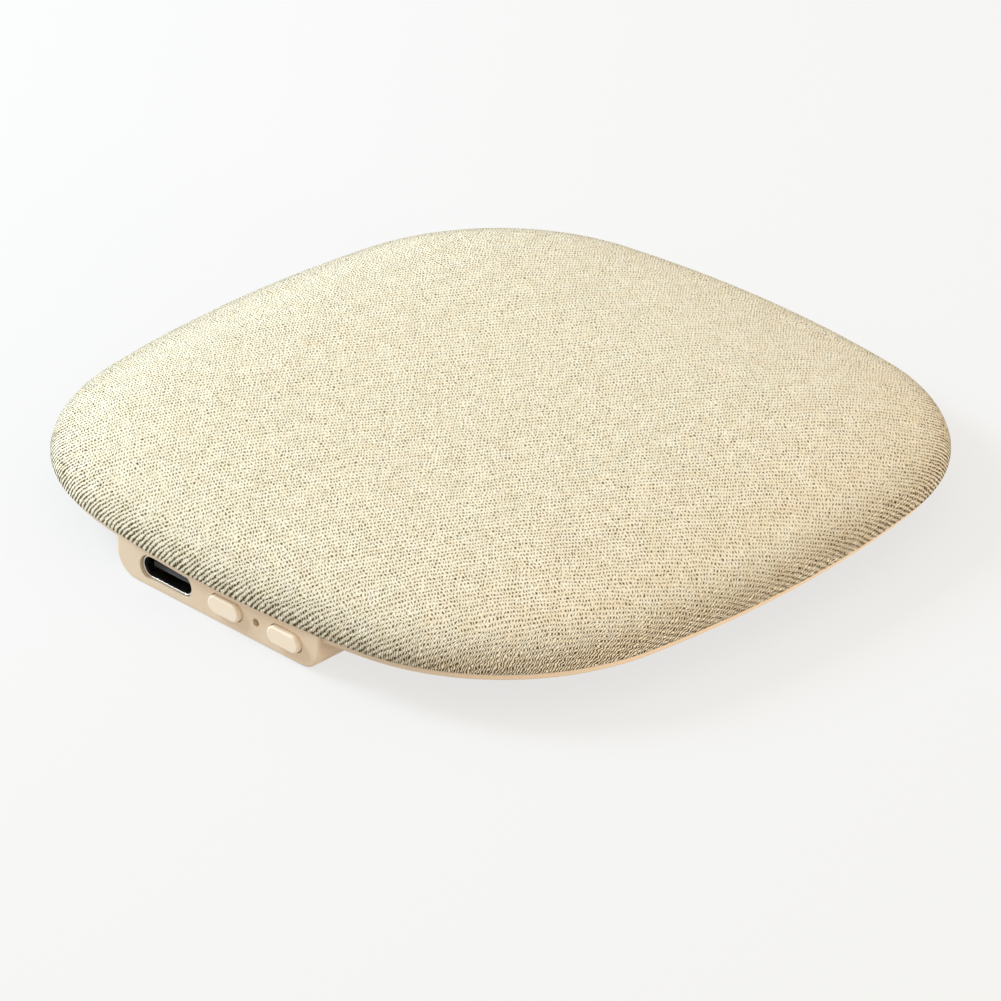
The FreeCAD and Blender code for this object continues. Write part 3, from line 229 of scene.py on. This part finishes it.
bells = []
for count, width in ((row, VALLEY_WIDTH / ROW_SPACING), (gap_count, GAP_WIDTH / STITCH_PITCH)):
    distance = add_node(knit, MATH, {0: count, 1: 0.5}, operation="PINGPONG")
    widths = add_node(knit, MATH, {0: distance, 1: width}, operation="DIVIDE")
    squared = add_node(knit, MATH, {0: widths, 1: 2.0}, operation="POWER")
    bells.append(add_node(knit, MATH, {0: math.exp(-1), 1: squared}, operation="POWER"))
valley, gap = bells

# %% [markdown]
# A real knit is uneven, so the painted shade in each pit has its own depth, picked by chance from the
# numbers of its row and its pit line, and whole patches are a little tighter or looser. Two attributes
# of the cloth say where it is pulled, near the hem. There the valleys or the gaps open and take more
# painted shade, which grows darker towards the hem, and the round pits close by up to half.

# %% Knit: how dark each opening is
numbers = [add_node(knit, MATH, {0: count}, operation="ROUND") for count in (row, pit_count)]
pit_address = add_node(knit, "ShaderNodeCombineXYZ", {"X": numbers[0], "Y": numbers[1]})
pit_chance = add_node(knit, "ShaderNodeTexWhiteNoise", {"Vector": pit_address}, noise_dimensions="2D")
patches = add_node(knit, NOISE, {"Vector": flat, "Scale": 1 / PATCH_SIZE, "Detail": 3.0})
uneven = add_node(knit, MATH, {0: pit_chance, 1: patches}, operation="ADD")
pit_shade_strength = add_node(knit, "ShaderNodeMapRange", {"Value": uneven, "From Min": 0.4, "From Max": 1.25,
                                              "To Min": 0.45, "To Max": 1.25})

# Pulled knit opens, and these two numbers also deepen the painted shade in the openings towards the hem.
valley_pull_and_shade = add_node(knit, "ShaderNodeAttribute", attribute_name="valley_pull_and_shade").outputs["Fac"]
gap_pull_and_shade = add_node(knit, "ShaderNodeAttribute", attribute_name="gap_pull_and_shade").outputs["Fac"]
opened = add_node(knit, MATH, {0: valley, 1: valley_pull_and_shade}, operation="MULTIPLY")
gap_share = add_node(knit, MATH, {0: gap_pull_and_shade, 1: 1.1, 2: 0.15}, operation="MULTIPLY_ADD")
parted = add_node(knit, MATH, {0: gap, 1: gap_share}, operation="MULTIPLY")
closing = add_node(knit, MATH, {0: gap_pull_and_shade, 1: -0.5, 2: 1.0}, operation="MULTIPLY_ADD")
round_pit = add_node(knit, MATH, {0: pit, 1: closing}, operation="MULTIPLY")
# Painted shade: how much of the brown shade between the threads goes into each opening.
shaded_openings = add_node(knit, MATH, {0: opened, 1: 2.0, 2: round_pit}, operation="MULTIPLY_ADD")
dark = add_node(knit, MATH, {0: shaded_openings, 1: pit_shade_strength, 2: parted}, operation="MULTIPLY_ADD", use_clamp=True)

# %% [markdown]
# The yarn is a melange, spun from whiter and browner fibres, so its colour drifts over a few
# millimetres and flickers over a quarter of one. The openings mix in the brown of the shade between
# the threads. For the relief every opening is low, and every stitch stands a little higher or lower
# than its neighbours. The yarn's fibres are finer than a tenth of a millimetre; they are drawn at
# 0.25 mm, because anything finer is lost in the picture.

# %% Knit: yarn colour and relief
numbers = [add_node(knit, MATH, {0: count}, operation="FLOOR") for count in (row, gap_count)]
stitch_address = add_node(knit, "ShaderNodeCombineXYZ", {"X": numbers[0], "Y": numbers[1]})
stitch_chance = add_node(knit, "ShaderNodeTexWhiteNoise", {"Vector": stitch_address}, noise_dimensions="2D")
melange = add_node(knit, NOISE, {"Vector": flat, "Scale": 1 / MELANGE_SIZE, "Detail": 3.0})
fibres = add_node(knit, NOISE, {"Vector": flat, "Scale": 1 / FIBRE_SIZE, "Detail": 2.0})
shade = add_node(knit, MATH, {0: fibres, 1: 1.2, 2: melange}, operation="MULTIPLY_ADD")
tone = add_node(knit, "ShaderNodeMapRange", {"Value": shade, "From Min": 0.75, "From Max": 1.45})
yarn = add_node(knit, "ShaderNodeMix", {"Factor": tone, "A": linear("FFFCEC"), "B": linear("F3E8CC")},
                data_type="RGBA")
# The brown mixed in here is painted shade in the pits, valleys and gaps, not the yarn's own colour.
colour = add_node(knit, "ShaderNodeMix", {"Factor": dark, "A": yarn, "B": linear("5C4919")},
                  data_type="RGBA")
plug(knit, colour.outputs[2], knit_shader, "Base Color")

height = 1.0
for opening, share in ((pit, -0.5), (opened, -0.8), (parted, -0.7), (stitch_chance, 0.35), (fibres, 0.45)):
    height = add_node(knit, MATH, {0: opening, 1: share, 2: height}, operation="MULTIPLY_ADD")
bump = add_node(knit, "ShaderNodeBump", {"Strength": 1.0, "Distance": YARN_DEPTH * MM, "Height": height})
plug(knit, bump.outputs["Normal"], knit_shader, "Normal")
print("knit:", len(knit.node_tree.nodes), "nodes")

# %% [markdown]
# ## Moulded plastics
# The base, the box under it and the buttons are injection moulded. The mould's surface is spark
# eroded to a fine matt grain of about 0.06 mm, which softens the highlight and is felt more than
# seen. The grain is drawn at 0.25 mm here, because at its true size the picture would lose it. The
# buttons come from a smoother mould, so they shine a little more and read lighter than the wall.

# %% Plastic materials


def make_plastic(name, light, dark, roughness, grain, relief):
    """Moulded plastic: two close colours drift into each other, and a fine grain breaks the highlight."""
    material, shader = new_material(name, roughness, ior=1.46)
    place = add_node(material, "ShaderNodeTexCoord").outputs["Object"]
    drift = add_node(material, NOISE, {"Vector": place, "Scale": 1 / (9 * MM), "Detail": 2.0})
    colour = add_node(material, "ShaderNodeMix", {"Factor": drift, "A": linear(light), "B": linear(dark)},
                      data_type="RGBA")
    plug(material, colour.outputs[2], shader, "Base Color")
    skin = add_node(material, NOISE, {"Vector": place, "Scale": 1 / (grain * MM), "Detail": 3.0})
    bump = add_node(material, "ShaderNodeBump", {"Strength": 0.5, "Distance": relief * MM, "Height": skin})
    plug(material, bump.outputs["Normal"], shader, "Normal")
    return material


# Case and buttons: moulded ABS, soft in its highlight; the buttons a little glossier and lighter
case_plastic = make_plastic("matt_moulded_abs", "F0DEC6", "EAD6BC", 0.55, grain=0.25, relief=0.012)
button_plastic = make_plastic("satin_moulded_abs", "FFF4E2", "FCECD6", 0.38, grain=0.25, relief=0.004)
# Socket tongue, switches and driver frame: black moulding with glass fibre, dull at its edges
black_plastic = make_plastic("black_lcp_moulding", "17130F", "0F0D0B", 0.45, grain=0.2, relief=0.006)
# Chips: epoxy filled with fine silica, a matt grey black
chip_plastic = make_plastic("moulded_chip_epoxy", "1C1C1E", "141416", 0.6, grain=0.15, relief=0.008)
# Board: glass cloth under a glossy green lacquer
solder_mask = make_plastic("green_solder_mask", "14482C", "0F3B24", 0.3, grain=0.6, relief=0.004)
# Foam: cut open cells, so it is rough all over and has no highlight
foam = make_plastic("open_cell_foam", "D8D6CE", "C9C6BC", 0.95, grain=0.35, relief=0.08)
# Driver: a dull cone of pressed paper in a rubber surround
cone_paper = make_plastic("pressed_cone_paper", "2A2724", "1F1D1B", 0.9, grain=0.3, relief=0.03)
rubber = make_plastic("butyl_rubber", "1B1B1C", "131314", 0.7, grain=0.2, relief=0.006)
# Inductor and aerial: fired powders, the one a dark grey, the other an eggshell white
ferrite = make_plastic("sintered_ferrite", "4A4846", "3E3C3A", 0.7, grain=0.12, relief=0.01)
alumina = make_plastic("white_alumina_ceramic", "DDDACF", "CFCCC0", 0.5, grain=0.15, relief=0.005)
# Leads: soft red insulation with a waxy shine
wire_skin = make_plastic("soft_pvc_insulation", "A32A22", "8E221B", 0.45, grain=0.3, relief=0.004)
# Status light: a smoked lens, almost black while the light is off
lens = make_plastic("smoked_acrylic_lens", "14110E", "0F0D0B", 0.5, grain=0.3, relief=0.002)
print("case plastic:", len(case_plastic.node_tree.nodes), "nodes")

# %% [markdown]
# ## Metals
# The socket's shell is folded from thin steel and nickel plated, so its front edge is the one
# bright line in the mouth. Plating follows the rolled sheet below it: fine scratches run one way,
# which stretches the grain of the bump along one axis. The cell's pouch is aluminium laminated
# with nylon, duller and slightly creased.

# %% Metal materials


def make_metal(name, code, roughness, streak, relief):
    """Metal with fine streaks: the noise is squeezed along X, so that it runs long along Y."""
    material, shader = new_material(name, roughness, metallic=1.0)
    place = add_node(material, "ShaderNodeTexCoord").outputs["Object"]
    run = add_node(material, "ShaderNodeMapping", {"Vector": place, "Scale": (1.0, 0.12, 1.0)})
    streaks = add_node(material, NOISE, {"Vector": run, "Scale": 1 / (streak * MM), "Detail": 3.0})
    worn = [channel * 0.8 for channel in linear(code)[:3]] + [1.0]
    shade = add_node(material, "ShaderNodeMix", {"Factor": streaks, "A": linear(code), "B": worn},
                     data_type="RGBA")
    plug(material, shade.outputs[2], shader, "Base Color")
    bump = add_node(material, "ShaderNodeBump", {"Strength": 0.4, "Distance": relief * MM, "Height": streaks})
    plug(material, bump.outputs["Normal"], shader, "Normal")
    return material


# Socket shell, crystal can and driver plates: bright nickel over rolled steel
nickel = make_metal("nickel_plated_steel", "D9D4CA", roughness=0.22, streak=0.15, relief=0.003)
# Screws: zinc, a little greyer and duller than nickel
zinc = make_metal("zinc_plated_steel", "C4C4C2", roughness=0.35, streak=0.2, relief=0.004)
# Cell: a soft pouch that keeps wide, shallow creases
cell_foil = make_metal("laminated_aluminium_pouch", "C9CACC", roughness=0.45, streak=1.5, relief=0.05)
# Magnet: nickel over sintered grains, so darker and less even
magnet_plate = make_metal("nickel_plated_magnet", "A9A9AB", roughness=0.3, streak=0.2, relief=0.003)
# Coil: lacquered wire, orange, with its turns as fine streaks
copper = make_metal("enamelled_copper_wire", "C9703A", roughness=0.3, streak=0.1, relief=0.02)
print("metals:", ", ".join(m.name for m in (nickel, zinc, cell_foil, magnet_plate, copper)))

# %% [markdown]
# ## Dressing the pieces of the model
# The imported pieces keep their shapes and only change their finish. One dictionary says which finish
# each piece has, and a loop puts it into the piece's material slots. The cover isn't in it, because
# a softer piece will stand for it.

# %% Give each piece its finish
finishes = {
    case_plastic: ["top_shell", "bottom_shell"],
    button_plastic: ["left_button", "right_button"],
    black_plastic: ["socket_tongue", "left_switch", "right_switch", "left_plunger", "right_plunger",
                    "driver_frame"],
    nickel: ["socket_shell", "clock_crystal", "driver_yoke", "driver_pole_plate"],
    zinc: ["case_screws", "board_screws"],
    chip_plastic: ["sound_chip", "amplifier_chip"],
    solder_mask: ["circuit_board", "battery_strip"],
    foam: ["foam_pad", "battery_tape", "driver_gasket"],
    alumina: ["ceramic_aerial"],
    ferrite: ["power_inductor"],
    lens: ["status_light"],
    cell_foil: ["battery_cell"],
    magnet_plate: ["driver_magnet"],
    copper: ["voice_coil"],
    cone_paper: ["driver_cone"],
    rubber: ["driver_surround"],
    wire_skin: ["battery_leads", "speaker_leads"],
}
for finish, names in finishes.items():
    for name in names:
        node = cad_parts[name]
        node.data.materials.clear()
        node.data.materials.append(finish)
print("dressed", sum(len(names) for names in finishes.values()), "of", len(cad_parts), "pieces")

# %% [markdown]
# ## The form of the cover
# Seen from above the pad is a square with bowed sides: four long arcs joined by four corner arcs.
# Seen from the side it rises from the hem in three arcs, each flatter than the one before, and ends
# level in the middle. Curves that run parallel to the outline share its centres, so one function can
# give the point at any distance inside the edge, and another the height of the crown there.

# %% Outline and crown as functions
PAD_HALF = (cover_high.x - cover_low.x) / 2
SIDE_RADIUS = 145 * MM
CORNER_RADIUS = 30 * MM
SHOULDER_RADIUS = 2.7 * MM
SHOULDER_END = math.radians(31)
FLANK_RADIUS = 14 * MM
FLANK_END = math.radians(12)
LEVEL_INSET = 28.5 * MM
HEM = cover_low.z

side_back = SIDE_RADIUS - PAD_HALF
corner_offset = (math.sqrt(2 * (SIDE_RADIUS - CORNER_RADIUS) ** 2 - side_back ** 2) - side_back) / 2
corner_turn = math.atan2(corner_offset, corner_offset + side_back)


def outline(angle, inset):
    """The point of the outline in one direction from the middle, and the outward normal there."""
    quarter = round(angle / (math.pi / 2))
    near = angle - quarter * math.pi / 2
    side = SIDE_RADIUS - inset
    reach = math.sqrt(side ** 2 - (side_back * math.sin(near)) ** 2) - side_back * math.cos(near)
    x, y = reach * math.cos(near), reach * math.sin(near)
    lean = math.atan2(y, x + side_back)
    if abs(lean) > corner_turn:
        centre_y = math.copysign(corner_offset, near)
        along = corner_offset * math.cos(near) + centre_y * math.sin(near)
        across = corner_offset * math.sin(near) - centre_y * math.cos(near)
        reach = along + math.sqrt((CORNER_RADIUS - inset) ** 2 - across ** 2)
        x, y = reach * math.cos(near), reach * math.sin(near)
        lean = math.atan2(y - centre_y, x - corner_offset)
    turn = quarter * math.pi / 2
    point = Vector((x * math.cos(turn) - y * math.sin(turn), x * math.sin(turn) + y * math.cos(turn)))
    return point, Vector((math.cos(lean + turn), math.sin(lean + turn)))


shoulder_reach = SHOULDER_RADIUS * (1 - math.sin(SHOULDER_END))
flank_reach = FLANK_RADIUS * (math.sin(SHOULDER_END) - math.sin(FLANK_END))
DOME_RADIUS = (LEVEL_INSET - shoulder_reach - flank_reach) / math.sin(FLANK_END)
# Each arc of the crown: radius, steepest and flattest slope
CROWN = [(SHOULDER_RADIUS, math.pi / 2, SHOULDER_END), (FLANK_RADIUS, SHOULDER_END, FLANK_END),
         (DOME_RADIUS, FLANK_END, 0.0)]
CROWN_LENGTH = sum(radius * (steep - flat) for radius, steep, flat in CROWN)


def crown(length):
    """Inset and height of the cloth, a given length up from the hem."""
    inset, height = 0.0, HEM
    for radius, steep, flat in CROWN:
        slope = max(steep - length / radius, flat)
        inset += radius * (math.sin(steep) - math.sin(slope))
        height += radius * (math.cos(slope) - math.cos(steep))
        length -= radius * (steep - slope)
        if length <= 0:
            break
    return inset, height


print("crown: %.1f mm of cloth from hem to level, top at %.2f mm"
      % (CROWN_LENGTH / MM, crown(CROWN_LENGTH)[1] / MM))

# %% [markdown]
# ## Laying the cloth
# The sheet starts as a square grid. Its rows and columns stay together as rings round the middle,
# and each ring is laid on the form at its own distance from the hem, closer together near the edge,
# where the shoulder turns tightly. Every point also remembers where it was on the flat cloth, in
# millimetres: that is the map that the knit pattern follows. The pull of the hem fades over the last
# millimetres. It opens the valleys where the rows run into the hem and the gaps where they run along
# it, and it also sets how much painted shade they take, darkest at the hem. What is left of it is the
# freedom of the point to move.

# %% Lay a grid of cloth on the form
GRID = 96
EDGE_CROWDING = 1.5
STRETCH_LENGTH = 8 * MM
VALLEY_FADE = 3.0
GAP_FADE = 1.3

bpy.ops.object.select_all(action="DESELECT")
bpy.ops.mesh.primitive_grid_add(x_subdivisions=GRID, y_subdivisions=GRID, size=2, calc_uvs=False)
cover = bpy.context.object
cover.name = "knit_cover"
total_length = CROWN_LENGTH + LEVEL_INSET
row_direction = Vector((math.cos(ROW_ANGLE), math.sin(ROW_ANGLE)))

flat_cloth = []
freedom = []
pulls = {"valley_pull_and_shade": [], "gap_pull_and_shade": []}
hem_points = []
for vertex in cover.data.vertices:
    u, v = vertex.co.x, vertex.co.y
    ring = max(abs(u), abs(v))
    from_hem = total_length * (1 - ring) ** EDGE_CROWDING
    angle = math.atan2(v, u) if ring else 0.0
    pull = max(0.0, 1 - from_hem / STRETCH_LENGTH)
    if from_hem < CROWN_LENGTH:
        inset, height = crown(from_hem)
        point, normal = outline(angle, inset)
        spare = CROWN_LENGTH - from_hem - (LEVEL_INSET - inset)
        flat_cloth.append((point + normal * spare) / MM)
    else:
        point, normal = outline(angle, LEVEL_INSET)
        point = point * (total_length - from_hem) / LEVEL_INSET
        height = crown(CROWN_LENGTH)[1]
        flat_cloth.append(point / MM)
    into_hem = normal.dot(row_direction) ** 2
    pulls["valley_pull_and_shade"].append(pull ** VALLEY_FADE * into_hem)
    pulls["gap_pull_and_shade"].append(pull ** GAP_FADE * (1 - into_hem))
    if ring > 0.999:
        hem_points.append(vertex.index)
    freedom.append(1 - pull)
    vertex.co = (point.x, point.y, height)

print("cloth:", len(cover.data.vertices), "points, %.0f mm across when flat"
      % (2 * max(p.x for p in flat_cloth)))

# %% [markdown]
# The cloth coordinates go into a UV map, one entry for each corner of each face, and the two pulls,
# which also set the painted shade near the hem, into numbers on each point, which the material reads by name.

# %% Store the cloth coordinates
cloth_map = cover.data.uv_layers.new(name="cloth_mm")
for loop in cover.data.loops:
    cloth_map.data[loop.index].uv = flat_cloth[loop.vertex_index]
for name, values in pulls.items():
    cover.data.attributes.new(name, "FLOAT", "POINT").data.foreach_set("value", values)
cover.data.materials.append(knit)
print("maps:", [layer.name for layer in cover.data.uv_layers])

# %% [markdown]
# ## Letting the foam push
# Under the real cover a foam pad presses outwards, and the knit gives a little wherever it isn't
# held. A cloth simulation does the same: the hem is pinned, as the rim clamps it, and
# pressure pushes the rest. The solver is made for things the size of a shirt, so a copy twenty times
# as large is simulated. The cover starts a little low, and how far a point may move grows from
# nothing at the hem to the full cap where the cloth is free, which keeps the pad at its measured size.

# %% Simulate the cover
SIM_SCALE = 20
SIM_FRAMES = 20
SIM_CAP = 0.40 * MM
START_DIP = 0.35 * MM
FOAM_PRESSURE = 4.0

for vertex, share in zip(cover.data.vertices, freedom):
    vertex.co.z -= START_DIP * share
bpy.ops.object.select_all(action="DESELECT")
cover.select_set(True)
bpy.context.view_layer.objects.active = cover
bpy.ops.object.duplicate()
trial = bpy.context.object
bpy.ops.transform.resize(value=[SIM_SCALE] * 3, center_override=(0, 0, 0))
bpy.ops.object.transform_apply(location=True, rotation=True, scale=True)
trial.vertex_groups.new(name="hem").add(hem_points, 1.0, "REPLACE")
cloth = trial.modifiers.new("foam_pressure", "CLOTH")
cloth.settings.quality = 5
cloth.settings.vertex_group_mass = "hem"
cloth.settings.use_pressure = True
cloth.settings.uniform_pressure_force = FOAM_PRESSURE
cloth.settings.effector_weights.gravity = 0
cloth.point_cache.frame_start = 1
cloth.point_cache.frame_end = SIM_FRAMES
for moment in range(1, SIM_FRAMES + 1):
    bpy.context.scene.frame_set(moment)
swollen = trial.evaluated_get(bpy.context.evaluated_depsgraph_get()).data
moved = []
for vertex, target, share in zip(cover.data.vertices, swollen.vertices, freedom):
    step = target.co / SIM_SCALE - vertex.co
    moved.append(step.length)
    vertex.co += step * min(1.0, SIM_CAP * share / max(step.length, 1e-9))
print("cloth moved up to %.2f mm before the cap" % (max(moved) / MM))
bpy.data.objects.remove(trial)
bpy.context.scene.frame_set(1)

# %% [markdown]
# The sheet gets its thickness inwards, so that its outer face stays where it was laid. The cut edge
# at the hem is rolled under a little, which a bevel of the outer hem edge gives.

# %% Thickness, hem and attaching the cover to the housing
THICKNESS = 0.8 * MM
HEM_ROUND = 0.3 * MM
AT_HEM = 0.01 * MM
AT_EDGE = 0.05 * MM

bpy.ops.object.select_all(action="DESELECT")
cover.select_set(True)
bpy.context.view_layer.objects.active = cover
wall = cover.modifiers.new("cloth_thickness", "SOLIDIFY")
wall.thickness = THICKNESS
wall.offset = -1
bpy.ops.object.modifier_apply(modifier=wall.name)

outer = []
for vertex in cover.data.vertices:
    edge_point, normal = outline(math.atan2(vertex.co.y, vertex.co.x), 0.0)
    outer.append(vertex.co.z < HEM + AT_HEM and edge_point.length - vertex.co.xy.length < AT_EDGE)
for polygon in cover.data.polygons:
    polygon.select = False
for edge in cover.data.edges:
    edge.select = all(outer[index] for index in edge.vertices)
for vertex in cover.data.vertices:
    vertex.select = outer[vertex.index]
bpy.ops.object.mode_set(mode="EDIT")
bpy.ops.mesh.select_mode(type="EDGE")
bpy.ops.mesh.bevel(offset=HEM_ROUND, segments=3, affect="EDGES")
bpy.ops.object.mode_set(mode="OBJECT")
bpy.ops.object.shade_smooth_by_angle(angle=math.radians(50))
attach(cover, "housing")
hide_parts("fabric_cover")
print("hem: %d outer points rolled by %.1f mm" % (sum(outer), HEM_ROUND / MM))

# %% [markdown]
# ## Light and floor
# Product pictures of this kind stand on white that has no edge. Floor and room are white to the
# camera and in reflections, while the light that falls on the pad comes from lamps and a warm room. A
# light path node tells the rays that look from the ones that light things.

# %% Rays that see white


def seen_rays(owner):
    """One for camera, glossy and transmission rays, nothing for the rest."""
    path = add_node(owner, "ShaderNodeLightPath")
    looked = add_node(owner, MATH, {0: path.outputs["Is Camera Ray"], 1: path.outputs["Is Glossy Ray"]},
                      operation="ADD")
    return add_node(owner, MATH, {0: looked, 1: path.outputs["Is Transmission Ray"]}, operation="ADD",
                    use_clamp=True).outputs[0]


# %% [markdown]
# To the rays that look, the floor is a grey paint that also glows, so it is nearly white and the
# shadow on it stays faint. To the rest it is pale paint, which throws light back up under the pad.

# %% Floor
bpy.ops.object.select_all(action="DESELECT")
bpy.ops.mesh.primitive_plane_add(size=6, location=(0, 0, cad_box[0][2]))
floor = bpy.context.object
floor.name = "floor"
floor_paint, floor_shader = new_material("white_floor", roughness=0.9)
seen = seen_rays(floor_paint)
paint = add_node(floor_paint, "ShaderNodeMix", {"Factor": seen, "A": linear("BBBCBF"), "B": linear("696A6C")},
                 data_type="RGBA")
plug(floor_paint, paint.outputs[2], floor_shader, "Base Color")
floor_shader.inputs["Emission Color"].default_value = linear("DCDCDB")
plug(floor_paint, seen, floor_shader, "Emission Strength")
floor.data.materials.append(floor_paint)
print("floor at %.2f mm" % (floor.location.z / MM))

# %% [markdown]
# A soft lamp stands low on the left and a little in front, as a window would, so the cloth is
# brightest at the left corner and its rows cast fine shade towards the right. A weak card low on the
# right lifts the wall of the pad there without flattening the knit on top.

# %% Lamps


def add_lamp(name, place, width, watts, tint):
    """A square area lamp that points at the middle of the pad."""
    data = bpy.data.lights.new(name, "AREA")
    data.size = width
    data.energy = watts
    data.color = linear(tint)[:3]
    lamp = bpy.data.objects.new(name, data)
    lamp.location = place
    lamp.rotation_euler = (AIM - Vector(place)).to_track_quat("-Z", "Y").to_euler()
    bpy.context.scene.collection.objects.link(lamp)
    print("%s: %.1f W" % (name, watts))


add_lamp("window_lamp", (-0.42, -0.15, 0.27), 0.2, 3.2, "DBF1FF")
add_lamp("fill_card", (0.60, 0.12, 0.08), 0.14, 1.6, "FFEBD6")

# %% [markdown]
# The room gives a warm light from all sides, which turns the shade between the threads brown.

# %% Room
room = bpy.data.worlds.new("studio")
room.use_nodes = True
background = room.node_tree.nodes["Background"]
background.inputs["Color"].default_value = linear("FFECD3")
background.inputs["Strength"].default_value = 0.79
white = add_node(room, "ShaderNodeBackground", {"Color": linear("FFFFFF"), "Strength": 1.0})
mixed = add_node(room, "ShaderNodeMixShader", {0: seen_rays(room), 1: background, 2: white})
plug(room, mixed.outputs[0], room.node_tree.nodes["World Output"], "Surface")
bpy.context.scene.world = room
bpy.context.scene.view_settings.view_transform = "Standard"
print("room: strength %.2f" % background.inputs["Strength"].default_value)
